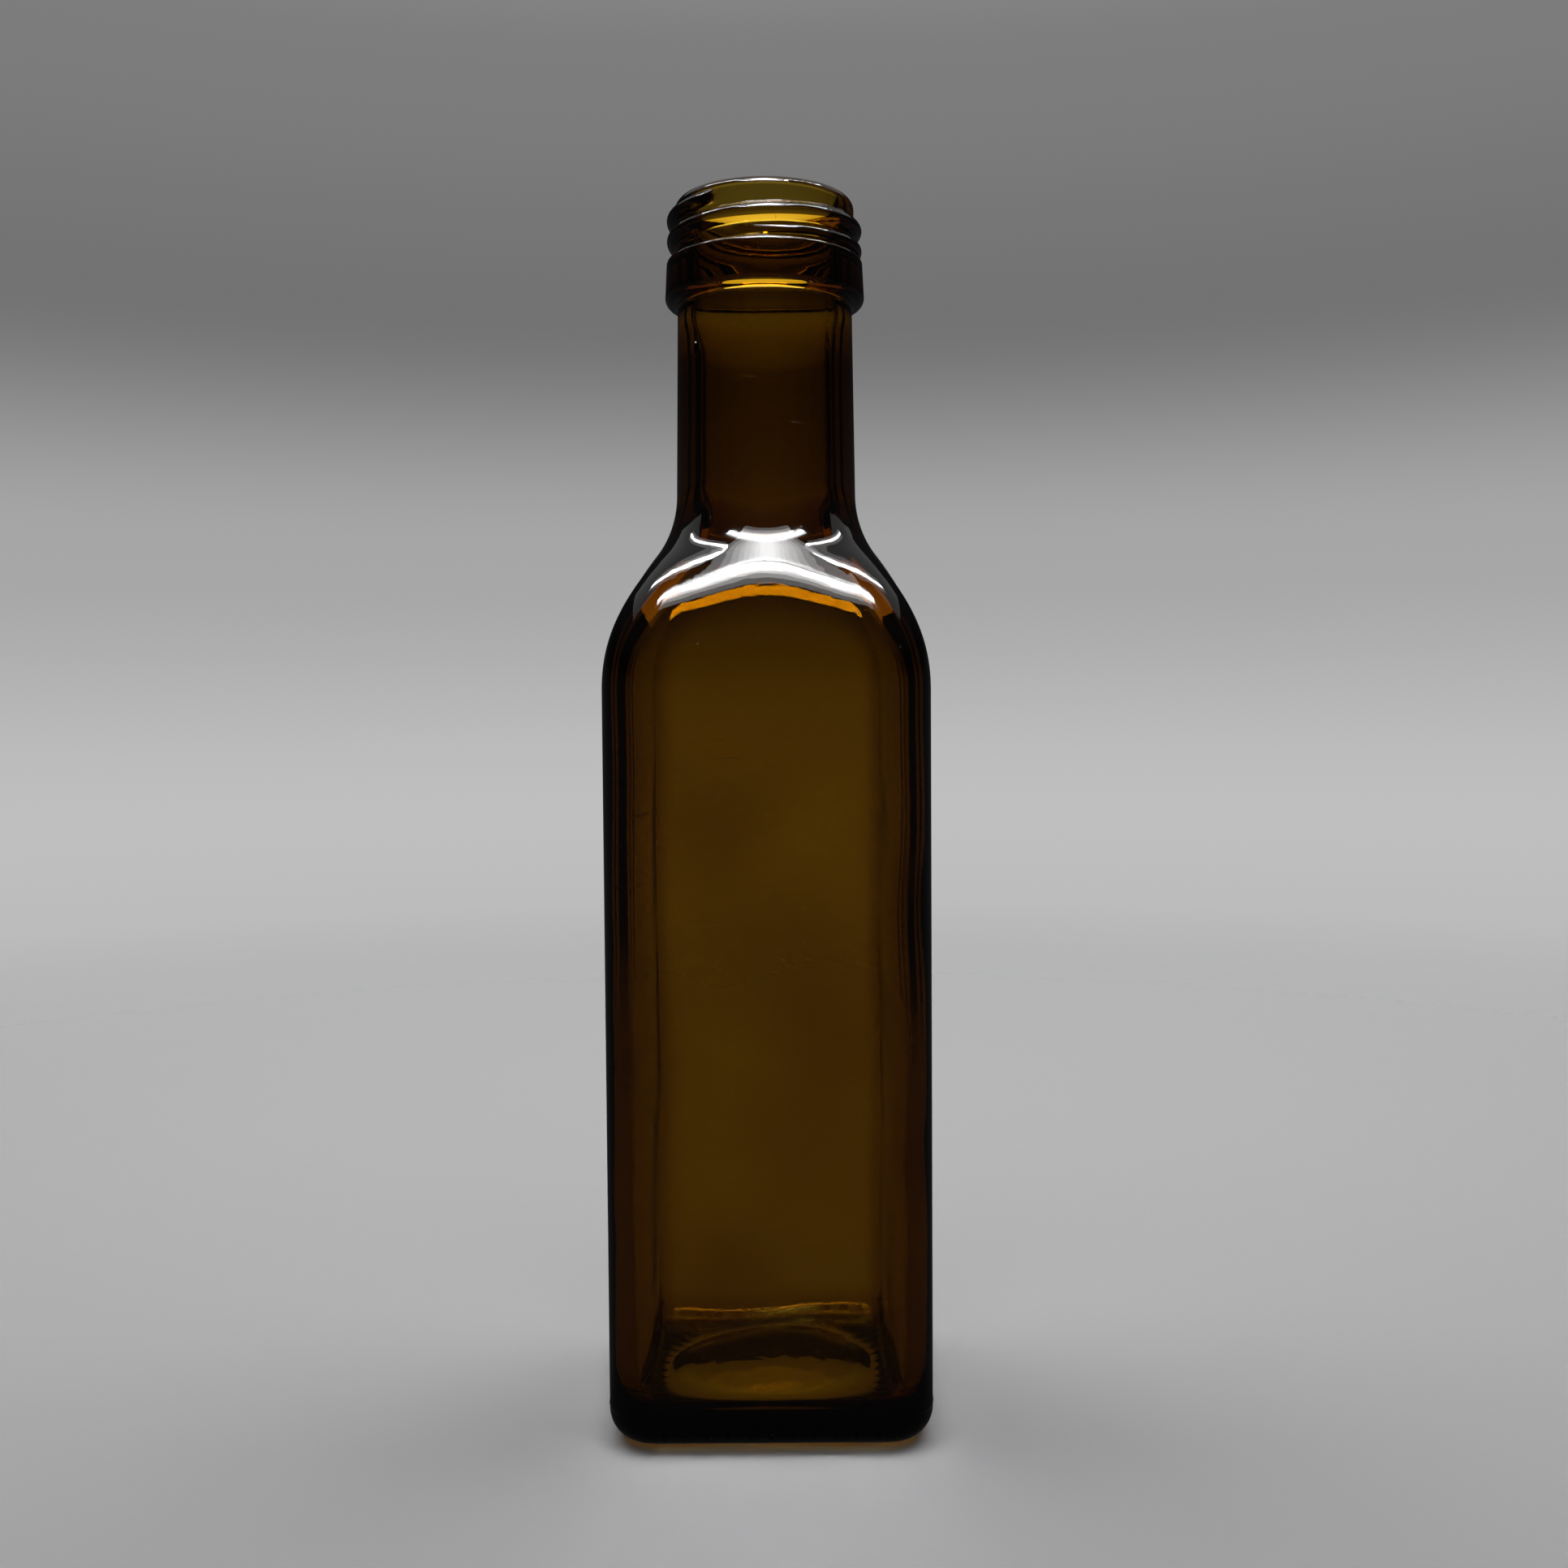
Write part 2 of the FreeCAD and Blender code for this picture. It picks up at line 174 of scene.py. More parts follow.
# Heel, bearing ring and push-up, all of the same glass. The base plate of the mould presses the middle
# of the base up into a low dome, so that the bottle stands on a flat ring.
BEARING_ROWS = (19.7, 19.2, 18.7, 18.2, 17.7)
PUSH_UP_HALF, PUSH_UP_RISE, PUSH_UP_EDGE = 15.5, 3.2, 1.5
PUSH_UP_TURN, PUSH_UP_FOOT = 0.1, 0.35
DOME_ROWS, DOME_EYE = 11, 0.4


def pick_end(skin, height):
    """Selects the flat end of the glass at a height."""
    bpy.ops.mesh.select_all(action="DESELECT")
    sheet = bmesh.from_edit_mesh(skin.data)
    flat_ends = [f for f in sheet.faces if all(abs(v.co.z / MM - height) < 1e-3 for v in f.verts)]
    max(flat_ends, key=lambda face: len(face.verts)).select_set(True)
    bmesh.update_edit_mesh(skin.data)


def step_in(edge, rows):
    """Rounds the selected end of the glass into a flat, going in from all sides and out to the end."""
    gone_in, gone_out = 0.0, 0.0
    for share in steps(rows):
        angle = share * math.pi / 2
        inwards, outwards = edge * (1 - math.cos(angle)), edge * math.sin(angle)
        bpy.ops.mesh.inset(thickness=(inwards - gone_in) * MM, depth=(outwards - gone_out) * MM)
        gone_in, gone_out = inwards, outwards


def close_dome(end, half, rise):
    """Draws the selected end of the glass in to the middle of a low dome, and closes it."""
    foot = end["height"]
    ball = (half ** 2 + rise ** 2) / (2 * rise)
    for share in steps(DOME_ROWS):
        out = half * (1 - share) if share < 1 else DOME_EYE
        draw(end, foot + math.sqrt(ball ** 2 - out ** 2) - (ball - rise), out)
    bpy.ops.mesh.merge(type="CENTER")


pick_end(outside, HEEL)
step_in(HEEL, rows=10)
end = measure(outside)
for half in BEARING_ROWS:
    draw(end, 0, half, half * end["corner"] / end["flat"])
draw(end, 0, PUSH_UP_HALF + PUSH_UP_EDGE)
draw(end, PUSH_UP_TURN, PUSH_UP_HALF + 0.5 * PUSH_UP_EDGE)
draw(end, PUSH_UP_FOOT, PUSH_UP_HALF)
close_dome(end, PUSH_UP_HALF, PUSH_UP_RISE - PUSH_UP_FOOT)
bpy.ops.object.mode_set(mode="OBJECT")

# Bottle, inside. Air blows the hot glass out against the mould, so the inside follows the outside loosely,
# with softer corners. The bore of the mouth is pressed true by the plunger, so that a pourer fits.
WALL, NECK_WALL, INNER_CORNER = 3.0, 3.7, 6.2
INNER_ROOT, INNER_ROOT_CURVE = 141.5, 11.8
FLOOR, FLOOR_CURVE = 4.5, 4.0
FLOOR_FLAT_HALF, FLOOR_FLAT_CORNER = 16.4, 17.8
FLOOR_DOME_HALF, FLOOR_DOME_RISE = 15.0, 3.0
MOUTH_HALF, MOUTH_DEPTH, LIP_EDGE = 11.3, 18.0, 1.2
THROAT_DEPTH = 25.0
INNER_BODY_ROWS, INNER_NECK_ROWS, THROAT_ROWS, MOUTH_ROWS = 40, 8, 10, 8


def soft(share):
    """An even ease from nothing to one."""
    share = min(max(share, 0.0), 1.0)
    return share * share * (3 - 2 * share)


inner_half, inner_root_half = BODY_HALF - WALL, NECK_ROOT_HALF - NECK_WALL
inside, end = gather("bottle_inside", inner_half, INNER_CORNER, FLOOR + FLOOR_CURVE)
inner_square = end["corner"] / end["flat"]
for share in steps(INNER_BODY_ROWS):
    height = FLOOR + FLOOR_CURVE + (SHOULDER - FLOOR - FLOOR_CURVE) * share
    draw(end, height, inner_half, inner_half * inner_square)
draw_shoulder(end, SHOULDER, inner_half, INNER_ROOT, inner_root_half, INNER_ROOT_CURVE, INNER_CORNER)
throat_half = neck_half(RIM - THROAT_DEPTH) - NECK_WALL
for share in steps(INNER_NECK_ROWS):
    height = INNER_ROOT + (RIM - THROAT_DEPTH - INNER_ROOT) * share
    draw(end, height, neck_half(height) - NECK_WALL)
for share in steps(THROAT_ROWS):
    height = RIM - THROAT_DEPTH + (THROAT_DEPTH - MOUTH_DEPTH) * share
    draw(end, height, throat_half + (MOUTH_HALF - throat_half) * soft(share))
for share in steps(MOUTH_ROWS):
    draw(end, RIM - MOUTH_DEPTH + (MOUTH_DEPTH - LIP_EDGE) * share, MOUTH_HALF)
draw_rounded(end, RIM - LIP_EDGE, MOUTH_HALF + LIP_EDGE, LIP_EDGE, 180, 90, rows=7)
pick_end(inside, FLOOR + FLOOR_CURVE)
step_in(FLOOR_CURVE, rows=16)
end = measure(inside)
draw(end, FLOOR, FLOOR_FLAT_HALF, FLOOR_FLAT_CORNER)
draw(end, FLOOR, FLOOR_DOME_HALF)
close_dome(end, FLOOR_DOME_HALF, FLOOR_DOME_RISE)
bpy.ops.mesh.select_all(action="SELECT")
bpy.ops.mesh.normals_make_consistent(inside=True)
bpy.ops.object.mode_set(mode="OBJECT")

# Rim of the mouth: the flat ring at the top where the outside and the inside of the glass meet.
# It is the same glass, with rounded edges, so here the two skins are joined and the ring is closed.
bpy.ops.object.select_all(action="DESELECT")
inside.select_set(True)
outside.select_set(True)
bpy.context.view_layer.objects.active = outside
bpy.ops.object.join()
bottle = outside
bpy.ops.object.mode_set(mode="EDIT")
bpy.ops.mesh.select_all(action="DESELECT")
sheet = bmesh.from_edit_mesh(bottle.data)
for face in sheet.faces:
    if len(face.verts) > 4 and all(abs(v.co.z / MM - RIM) < 1e-3 for v in face.verts):
        face.select_set(True)
bmesh.update_edit_mesh(bottle.data)
bpy.ops.mesh.bridge_edge_loops()
bpy.ops.object.mode_set(mode="OBJECT")

# Thread of the finish, for a screw cap: one right-handed round ridge of two turns, moulded in the glass with
# the neck ring. It starts in a rounded tongue left of the front, and fades out at the top of the collar.
THREAD_TOP, THREAD_PITCH, THREAD_DEPTH = 188.4, 3.2, 1.25
THREAD_HALF_WIDTH, THREAD_END_HALF_WIDTH, THREAD_CREST = 1.5, 1.05, 0.75
THREAD_START, THREAD_LENGTH = 243.0, 720.0
TONGUE, SWELL, RUN_OUT = 16.0, 90.0, 60.0
ABOVE_COLLAR = 0.1


def press(name, weights, depth, direction="NORMAL", pattern=None):
    """Moves the surface of the glass by a depth, weighted at each point, or both ways by a pattern."""
    group = bottle.vertex_groups.new(name=name)
    for index, weight in weights.items():
        group.add([index], weight, "REPLACE")
    mould = bottle.modifiers.new(name, "DISPLACE")
    mould.vertex_group = name
    mould.direction = direction
    mould.mid_level = 0.0
    mould.strength = depth * MM
    if pattern:
        mould.texture = pattern
        mould.texture_coords = "LOCAL"
        mould.mid_level = 0.5
    bpy.ops.object.modifier_apply(modifier=name)
    bottle.vertex_groups.remove(bottle.vertex_groups[name])


def thread_height(angle, height):
    """How much of the thread's full depth stands at an angle about the axis and a height."""
    best = 0.0
    for turn in (0, 1, 2):
        along = (THREAD_START - angle) % 360 + 360 * turn
        if along > THREAD_LENGTH:
            continue
        tongue = soft(along / TONGUE)
        width = THREAD_END_HALF_WIDTH + (THREAD_HALF_WIDTH - THREAD_END_HALF_WIDTH) * soft(along / SWELL)
        away = abs(height - (THREAD_TOP - THREAD_PITCH * along / 360)) / width
        if away < 1:
            crest = (1 - away * away) ** THREAD_CREST
            best = max(best, crest * tongue * soft((THREAD_LENGTH - along) / RUN_OUT))
    return best


thread = {}
for vertex in bottle.data.vertices:
    x, y, z = vertex.co / MM
    if math.hypot(x, y) > FINISH_HALF - RIM_EDGE and z > COLLAR_TOP + ABOVE_COLLAR:
        weight = thread_height(math.degrees(math.atan2(y, x)), z)
        if weight > 0:
            thread[vertex.index] = weight
press("thread", thread, THREAD_DEPTH)

# Knurls of the bearing ring, moulded in the glass: short ribs that keep the hot base off the belt.
# On each side of the base eleven of them stand in line with a small round stud on the heel.
KNURL_PITCH, KNURL_DEPTH, KNURL_END = 3.2, 0.35, 0.5
KNURLS_FROM, KNURLS_TO, KNURLS_EACH_WAY, FOOT_TOP = 17.4, 21, 17.5, 0.3
DOT_HEIGHT, DOT_HALF, DOT_DEPTH, DOT_EDGE = 2.3, 0.6, 0.45, 0.18
DOTS_EACH_WAY, DOT_CUTS = 5, 5
STRIP_LOW, STRIP_HIGH, STRIP_OUT, STRIP_EACH_WAY = 1.3, 3.4, 22, 17.4


def refine(wanted, cuts):
    """Divides the faces of the glass whose middle is wanted, for a form that is finer than the rest."""
    bpy.ops.object.mode_set(mode="EDIT")
    bpy.ops.mesh.select_all(action="DESELECT")
    sheet = bmesh.from_edit_mesh(bottle.data)
    for face in sheet.faces:
        if wanted(*(face.calc_center_median() / MM)):
            face.select_set(True)
    bmesh.update_edit_mesh(bottle.data)
    bpy.ops.mesh.subdivide(number_cuts=cuts)
    bpy.ops.object.mode_set(mode="OBJECT")


def on_heel(x, y, z):
    """Whether a place is in the strip of the heel that carries the studs."""
    flat, along = max(abs(x), abs(y)), min(abs(x), abs(y))
    return STRIP_LOW < z < STRIP_HIGH and flat > STRIP_OUT and along < STRIP_EACH_WAY


refine(on_heel, DOT_CUTS)
knurls, dots = {}, {}
dot_turn = math.acos(1 - DOT_HEIGHT / HEEL)
for vertex in bottle.data.vertices:
    x, y, z = vertex.co / MM
    flat, along = max(abs(x), abs(y)), min(abs(x), abs(y))
    if z < FOOT_TOP and KNURLS_FROM < flat < KNURLS_TO and along < KNURLS_EACH_WAY:
        groove = 0.5 - 0.5 * math.cos(2 * math.pi * along / KNURL_PITCH)
        knurls[vertex.index] = soft((flat - KNURLS_FROM) / KNURL_END) * groove
    if on_heel(x, y, z) and along < (DOTS_EACH_WAY + 0.5) * KNURL_PITCH:
        beside = along - KNURL_PITCH * round(along / KNURL_PITCH)
        above = HEEL * (math.acos(1 - z / HEEL) - dot_turn)
        dots[vertex.index] = soft((DOT_HALF - math.hypot(beside, above)) / DOT_EDGE)
press("knurls", knurls, KNURL_DEPTH, "Z")
press("dots", dots, DOT_DEPTH)

# Seam that the halves of the mould leave in the glass, on two opposite corners and up the neck, and one flaw
# of the moulding: a small blister that stands on the left of the neck, below the collar.
SEAM_RIDGE, SEAM_OUT, ON_DIAGONAL = 0.06, 12, 1e-3
BLISTER_ANGLE, BLISTER_HEIGHT, BLISTER_DEPTH = 221.0, 166.2, 0.5
BLISTER_HALF_WIDTH, BLISTER_HALF_HEIGHT = 0.55, 1.1
PATCH_HALF_WIDTH, PATCH_HALF_HEIGHT, PATCH_OUT, PATCH_CUTS = 1.3, 1.9, 12.5, 3


def from_blister(x, y, z):
    """How far a place on the neck lies from the blister, sideways and upwards."""
    turn = math.radians((math.degrees(math.atan2(y, x)) - BLISTER_ANGLE + 180) % 360 - 180)
    return neck_half(BLISTER_HEIGHT) * turn, z - BLISTER_HEIGHT


def round_blister(x, y, z):
    """Whether a place is on the outside of the neck, round the blister."""
    beside, above = from_blister(x, y, z)
    return math.hypot(x, y) > PATCH_OUT and abs(beside) < PATCH_HALF_WIDTH and abs(above) < PATCH_HALF_HEIGHT


refine(round_blister, PATCH_CUTS)
seam, blister = {}, {}
for vertex in bottle.data.vertices:
    x, y, z = vertex.co / MM
    if HEEL < z < RIM - RIM_EDGE and abs(x + y) < ON_DIAGONAL and math.hypot(x, y) > SEAM_OUT:
        seam[vertex.index] = 1.0
    if round_blister(x, y, z):
        beside, above = from_blister(x, y, z)
        dome = 1 - (beside / BLISTER_HALF_WIDTH) ** 2 - (above / BLISTER_HALF_HEIGHT) ** 2
        if dome > 0:
            blister[vertex.index] = math.sqrt(dome)
press("seam", seam, SEAM_RIDGE)
press("blister", blister, BLISTER_DEPTH)

# Uneven inside of the body. No mould touches the blown glass there, so it settles in slow waves,
# which die away towards the floor and the shoulder.
WAVE_LENGTH, WAVE_DEPTH = 26.0, 0.9
WAVES_FOOT, WAVES_RISE, WAVES_FADE = 1, 6, 20
HOLLOW_SLACK, HOLLOW_CORNER = 0.1, 0.93
waves = {}
for vertex in bottle.data.vertices:
    x, y, z = vertex.co / MM
    off_flats = max(abs(x), abs(y)) < BODY_HALF - WALL + HOLLOW_SLACK
    off_corners = math.hypot(x, y) < HOLLOW_CORNER * BODY_HALF * inner_square
    if off_flats and off_corners and FLOOR + WAVES_FOOT < z < SHOULDER:
        waves[vertex.index] = soft((z - FLOOR - WAVES_FOOT) / WAVES_RISE) * soft((SHOULDER - z) / WAVES_FADE)
ripple = bpy.data.textures.new("ripple", "CLOUDS")
ripple.noise_scale = WAVE_LENGTH * MM
ripple.noise_depth = 1
press("waves", waves, WAVE_DEPTH, pattern=ripple)
bpy.ops.object.shade_smooth()

# Glass of the bottle: amber-brown through and through, so that it is dark where it is seen edge on.
# Its skin is a little uneven from the mould, smeared by handling, and scuffed with specks and with patches
# of fine level hairlines.
GLASS_ABSORBS, GLASS_TINT, GLASS_IOR = 1260.0, (0.705, 0.592, 0.0), 1.52
SMEARS_LEAST, SMEARS_MOST, SCUFFS_MOST = 0.008, 0.035, 0.2
SKIN_DEPTH, SLOW_SKIN, SCUFF_DEPTH = 0.000008, 4.0, 3.0
glass = bpy.data.materials.new("amber_brown_glass")
glass.use_nodes = True
nodes, links = glass.node_tree.nodes, glass.node_tree.links
shader = nodes["Principled BSDF"]
shader.inputs["Base Color"].default_value = (1, 1, 1, 1)
shader.inputs["IOR"].default_value = GLASS_IOR
shader.inputs["Transmission Weight"].default_value = 1.0
place = nodes.new("ShaderNodeTexCoord")


def grain(scale, detail, stretch=(1, 1, 1)):
    """An uneven pattern through the glass, finer for a larger scale, and squeezed along the axes."""
    drawn = nodes.new("ShaderNodeMapping")
    drawn.inputs["Scale"].default_value = stretch
    links.new(place.outputs["Object"], drawn.inputs["Vector"])
    pattern = nodes.new("ShaderNodeTexNoise")
    pattern.inputs["Scale"].default_value = scale
    pattern.inputs["Detail"].default_value = detail
    links.new(drawn.outputs["Vector"], pattern.inputs["Vector"])
    return pattern.outputs["Fac"]


def between(value, low, high, least, most):
    """A value's way from low to high, eased and spread from least to most."""
    spread = nodes.new("ShaderNodeMapRange")
    spread.interpolation_type = "SMOOTHSTEP"
    spread.inputs["From Min"].default_value, spread.inputs["From Max"].default_value = low, high
    spread.inputs["To Min"].default_value, spread.inputs["To Max"].default_value = least, most
    links.new(value, spread.inputs["Value"])
    return spread.outputs["Result"]


def both(value, other, how):
    """Two values put together."""
    joined = nodes.new("ShaderNodeMath")
    joined.operation = how
    links.new(value, joined.inputs[0])
    links.new(other, joined.inputs[1])
    return joined.outputs["Value"]


hairlines = between(grain(26.0, 3.0, (1, 1, 60)), 0.69, 0.73, 0.0, 1.0)
worn_patches = between(grain(34.0, 2.0), 0.52, 0.66, 0.0, 1.0)
specks = between(grain(1400.0, 0.0), 0.86, 0.88, 0.0, 0.6)
scuffs = both(both(hairlines, worn_patches, "MULTIPLY"), specks, "MAXIMUM")
smears = between(grain(45.0, 4.0), 0.35, 0.75, SMEARS_LEAST, SMEARS_MOST)
links.new(both(smears, between(scuffs, 0.0, 1.0, 0.0, SCUFFS_MOST), "ADD"), shader.inputs["Roughness"])
chill = both(grain(650.0, 1.0), between(grain(95.0, 1.0), 0.0, 1.0, 0.0, SLOW_SKIN), "ADD")
uneven = nodes.new("ShaderNodeBump")
uneven.inputs["Strength"].default_value = 1.0
uneven.inputs["Distance"].default_value = SKIN_DEPTH
links.new(both(chill, between(scuffs, 0.0, 1.0, 0.0, SCUFF_DEPTH), "SUBTRACT"), uneven.inputs["Height"])
links.new(uneven.outputs["Normal"], shader.inputs["Normal"])
absorb = nodes.new("ShaderNodeVolumeAbsorption")
absorb.inputs["Color"].default_value = (*GLASS_TINT, 1)
absorb.inputs["Density"].default_value = GLASS_ABSORBS
links.new(absorb.outputs["Volume"], nodes["Material Output"].inputs["Volume"])
bottle.data.materials.clear()
bottle.data.materials.append(glass)
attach(bottle, "root")
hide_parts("bottle")

# Studio floor: plain, pale and matt. It fades out into the backdrop, and it isn't mirrored in the glass.
# A disc of the floor under the base glows with painted light, a stand-in for light that comes down through
# the glass, and it sends light up through the base.
FLOOR_COLOUR, FLOOR_ROUGHNESS, FLOOR_SHEEN, FLOOR_REACH = (0.36, 0.36, 0.365, 1), 0.9, 0.2, 3.0
FADE_FROM, FADE_TO = 0.1, 0.7
GLOW_COLOUR, GLOW_STRENGTH, GLOW_FROM, GLOW_TO = (0.75, 1.0, 0.2, 1), 1.1, 0.017, 0.0205
bpy.ops.object.select_all(action="DESELECT")
bpy.ops.mesh.primitive_circle_add(vertices=96, radius=FLOOR_REACH, fill_type="NGON", location=(0, 0, 0))
floor = bpy.context.object
floor.name = "floor"
floor_paint = bpy.data.materials.new("floor_paint")
floor_paint.use_nodes = True
nodes, links = floor_paint.node_tree.nodes, floor_paint.node_tree.links
floor_shader = nodes["Principled BSDF"]
floor_shader.inputs["Base Color"].default_value = FLOOR_COLOUR
floor_shader.inputs["Roughness"].default_value = FLOOR_ROUGHNESS
floor_shader.inputs["Specular IOR Level"].default_value = FLOOR_SHEEN
place = nodes.new("ShaderNodeTexCoord")
from_middle = nodes.new("ShaderNodeVectorMath")
from_middle.operation = "LENGTH"
links.new(place.outputs["Object"], from_middle.inputs[0])
fade = between(from_middle.outputs["Value"], FADE_FROM, FADE_TO, 0.0, 1.0)
# Painted light: the floor glows in a disc under the base and fades out at its edge, though no lamp lights it
# there.
painted_glow = between(from_middle.outputs["Value"], GLOW_FROM, GLOW_TO, GLOW_STRENGTH, 0.0)
links.new(painted_glow, floor_shader.inputs["Emission Strength"])
floor_shader.inputs["Emission Color"].default_value = GLOW_COLOUR
clear = nodes.new("ShaderNodeBsdfTransparent")
faded = nodes.new("ShaderNodeMixShader")
links.new(fade, faded.inputs["Fac"])
links.new(floor_shader.outputs["BSDF"], faded.inputs[1])
links.new(clear.outputs["BSDF"], faded.inputs[2])
links.new(faded.outputs["Shader"], nodes["Material Output"].inputs["Surface"])
floor.data.materials.append(floor_paint)
floor.visible_glossy = False

# Studio backdrop: plain all round, lightest just below eye level, dim above it and lighter again overhead.
# Light that has gone through the glass sees dark screens in it, with windows on the four sides and on the
# diagonals. Reflections see little of it, and it lights the floor at half strength.
BACKDROP = ((0.0, 0.34), (0.38, 0.44), (0.47, 0.52), (0.55, 0.38), (0.62, 0.17), (0.68, 0.20), (0.78, 0.42))
SIDE_WINDOWS = ((0.02, 1.0), (0.05, 0.05))
DIAGONAL_WINDOWS = ((0.36, 0.05), (0.42, 0.85), (0.58, 0.85), (0.64, 0.05))
FRONT_WINDOWS = ((0.72, 0.05), (0.80, 1.0))
IN_REFLECTIONS, ON_FLOOR = 0.06, 0.5
world = bpy.data.worlds.new("studio")
bpy.context.scene.world = world
world.use_nodes = True
nodes, links = world.node_tree.nodes, world.node_tree.links


def shades(value, stops):
    """Greys that follow a value, eased from stop to stop."""
    greys = nodes.new("ShaderNodeValToRGB")
    greys.color_ramp.interpolation = "EASE"
    while len(greys.color_ramp.elements) < len(stops):
        greys.color_ramp.elements.new(0.5)
    for element, (position, shade) in zip(greys.color_ramp.elements, stops):
        element.position = position
        element.color = (shade, shade, shade, 1)
    links.new(value, greys.inputs["Fac"])
    return greys.outputs["Color"]


def add_share(value, share, other):
    """A share of one value, added to another."""
    added = nodes.new("ShaderNodeMath")
    added.operation = "MULTIPLY_ADD"
    added.inputs[1].default_value = share
    links.new(value, added.inputs[0])
    links.new(other, added.inputs[2])
    return added.outputs["Value"]


way = nodes.new("ShaderNodeTexCoord")
split = nodes.new("ShaderNodeSeparateXYZ")
links.new(way.outputs["Generated"], split.inputs["Vector"])
level = nodes.new("ShaderNodeMapRange")
level.inputs["From Min"].default_value = -1.0
links.new(split.outputs["Z"], level.inputs["Value"])
backdrop = shades(level.outputs["Result"], BACKDROP)
level_way = nodes.new("ShaderNodeVectorMath")
level_way.operation = "MULTIPLY"
level_way.inputs[1].default_value = (1, 1, 0)
links.new(way.outputs["Generated"], level_way.inputs[0])
flat_way = nodes.new("ShaderNodeVectorMath")
flat_way.operation = "NORMALIZE"
links.new(level_way.outputs["Vector"], flat_way.inputs[0])
forward = nodes.new("ShaderNodeSeparateXYZ")
links.new(flat_way.outputs["Vector"], forward.inputs["Vector"])
towards_front = both(forward.outputs["Y"], forward.outputs["Y"], "MULTIPLY")
screens = shades(towards_front, SIDE_WINDOWS + DIAGONAL_WINDOWS + FRONT_WINDOWS)
ray = nodes.new("ShaderNodeLightPath")
screened = nodes.new("ShaderNodeMix")
screened.data_type = "RGBA"
screened.blend_type = "MULTIPLY"
links.new(ray.outputs["Is Transmission Ray"], screened.inputs["Factor"])
links.new(backdrop, screened.inputs["A"])
links.new(screens, screened.inputs["B"])
mirrored = add_share(ray.outputs["Is Glossy Ray"], IN_REFLECTIONS, ray.outputs["Is Camera Ray"])
seen = both(mirrored, ray.outputs["Is Transmission Ray"], "ADD")
strength = add_share(ray.outputs["Is Diffuse Ray"], ON_FLOOR, seen)
links.new(screened.outputs["Result"], nodes["Background"].inputs["Color"])
links.new(strength, nodes["Background"].inputs["Strength"])

# Studio lamps, all flat, overhead and facing straight down. The ceiling lights the floor. The others make the
# highlights and don't light it: a strip with a skirt before it, a panel, and a wing at each side. Each is a
# nest of lamps whose sizes grow, for soft edges. One more strip is seen only through the glass.
CEILING_SIZE, CEILING_PLACE, CEILING_RADIANCE = (1.1, 0.60), (0, 0.27, 0.63), 3.5
HAZE_PLACE, HAZE_RADIANCE = (0, 0.27, 0.632), 0.35
THROUGH_SIZE, THROUGH_PLACE, THROUGH_RADIANCE = (0.40, 0.09), (0, -0.220, 0.635), 800.0
STRIP_LENGTH, STRIP_Y, STRIP_Z = 0.40, -0.215, 0.628
STRIP_NEST = ((0.018, 110.0), (0.03, 9.0), (0.05, 5.0), (0.08, 3.0))
SKIRT_LENGTH, SKIRT_EDGE_Y, SKIRT_Z = 0.30, -0.225, 0.63
SKIRT_NEST = ((0.05, 5.0), (0.08, 3.5), (0.12, 2.0))
PANEL_DEPTH, PANEL_Y, PANEL_Z, PANEL_RADIANCE = 0.17, -0.105, 0.63, 2.3
PANEL_NEST = (0.05, 0.08, 0.11, 0.14, 0.17, 0.20, 0.23, 0.26)
WING_LENGTH, WING_X, WING_Y, WING_Z, WING_TURN = 0.31, 0.24, 0.03, 0.629, 43
WING_NEST = ((0.018, 36.0), (0.04, 3.0), (0.08, 1.0))
HANG = 0.02


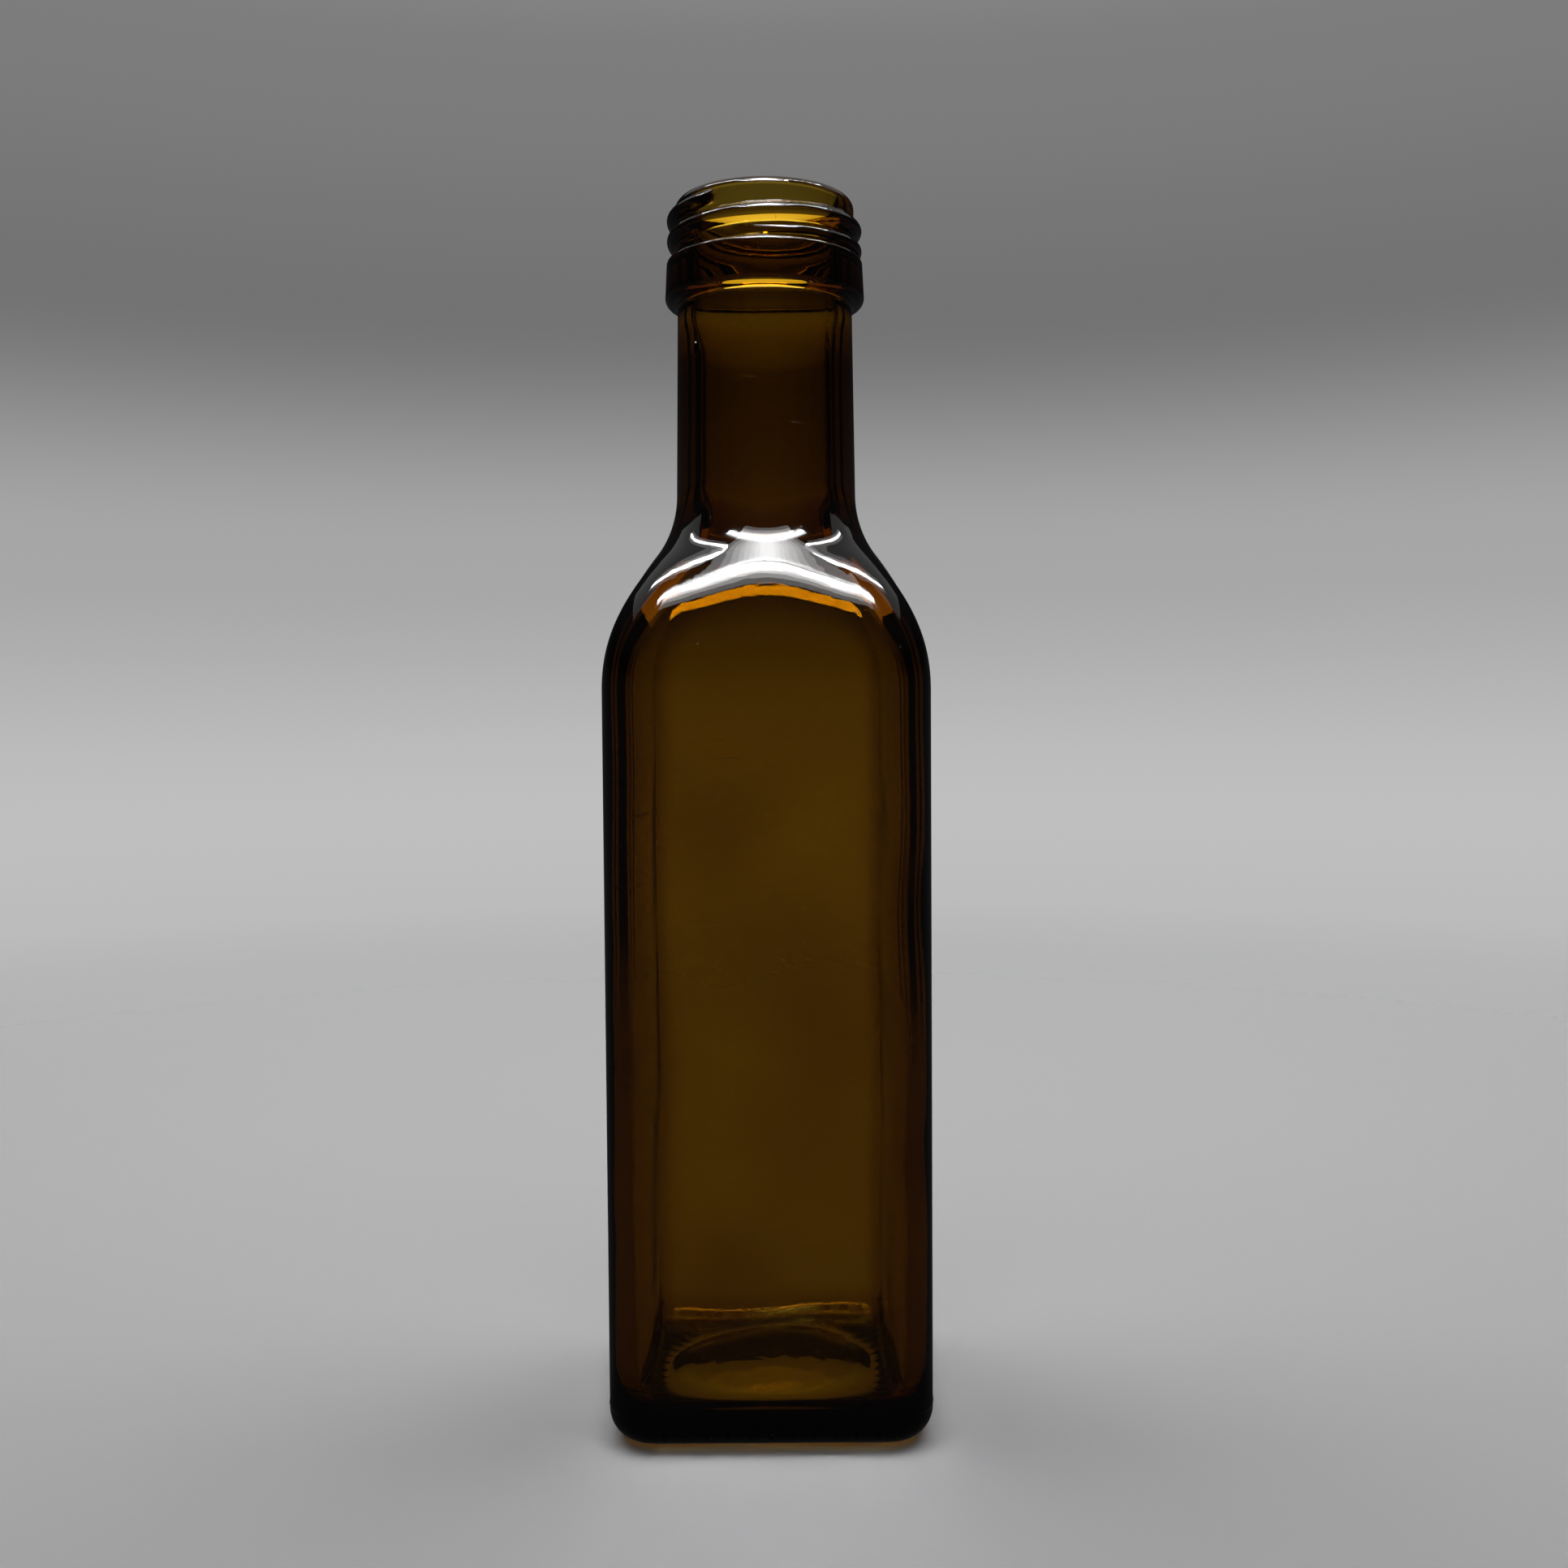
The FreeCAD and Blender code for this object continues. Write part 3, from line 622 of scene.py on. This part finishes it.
def light(name, size, where, radiance, on_floor=False, in_mirror=True, through=True, turn=0):
    """A lamp of even brightness that the camera doesn't see. It says which of the other rays do."""
    lamp = bpy.data.lights.new(name, "AREA")
    lamp.shape = "RECTANGLE"
    lamp.size, lamp.size_y = size
    lamp.energy = radiance * math.pi * size[0] * size[1]
    held = bpy.data.objects.new(name, lamp)
    held.location = where
    held.rotation_euler.z = math.radians(turn)
    held.visible_camera = False
    held.visible_diffuse = on_floor
    held.visible_glossy = in_mirror
    held.visible_transmission = through
    bpy.context.scene.collection.objects.link(held)


light("ceiling", CEILING_SIZE, CEILING_PLACE, CEILING_RADIANCE, on_floor=True, in_mirror=False)
light("haze", CEILING_SIZE, HAZE_PLACE, HAZE_RADIANCE, through=False)
light("strip_through", THROUGH_SIZE, THROUGH_PLACE, THROUGH_RADIANCE, in_mirror=False)
# Larger lamps of a nest hang a little lower, because lamps in one plane don't add up in the render.
for depth, radiance in STRIP_NEST:
    where = (0, STRIP_Y, STRIP_Z - HANG * depth)
    light("strip", (STRIP_LENGTH, depth), where, radiance, through=False)
for depth, radiance in SKIRT_NEST:
    where = (0, SKIRT_EDGE_Y - 0.5 * depth, SKIRT_Z - HANG * depth)
    light("skirt", (SKIRT_LENGTH, depth), where, radiance, through=False)
for width in PANEL_NEST:
    where = (0, PANEL_Y, PANEL_Z - HANG * width)
    light("panel", (width, PANEL_DEPTH), where, PANEL_RADIANCE, through=False)
for side in (-1, 1):
    for depth, radiance in WING_NEST:
        where = (side * WING_X, WING_Y, WING_Z - HANG * depth)
        light("wing", (WING_LENGTH, depth), where, radiance, turn=side * WING_TURN)

# Camera: close in front of the bottle, level with the top of the body and tipped slightly down,
# as the photograph was taken.
SENSOR, LENS, NEAREST = 36.0, 36.4, 0.01
CAMERA_PLACE, CAMERA_TILT, CAMERA_TURN = (0.00255, -0.2558, 0.1098), 87.5, -0.39
lens = bpy.data.cameras.new("camera")
lens.sensor_width = SENSOR
lens.lens = LENS
lens.clip_start = NEAREST
camera = bpy.data.objects.new("camera", lens)
camera.rotation_mode = "ZXY"
camera.location = CAMERA_PLACE
camera.rotation_euler = (math.radians(CAMERA_TILT), 0, math.radians(CAMERA_TURN))
bpy.context.scene.collection.objects.link(camera)
bpy.context.scene.camera = camera
bpy.context.scene.view_settings.view_transform = "Standard"
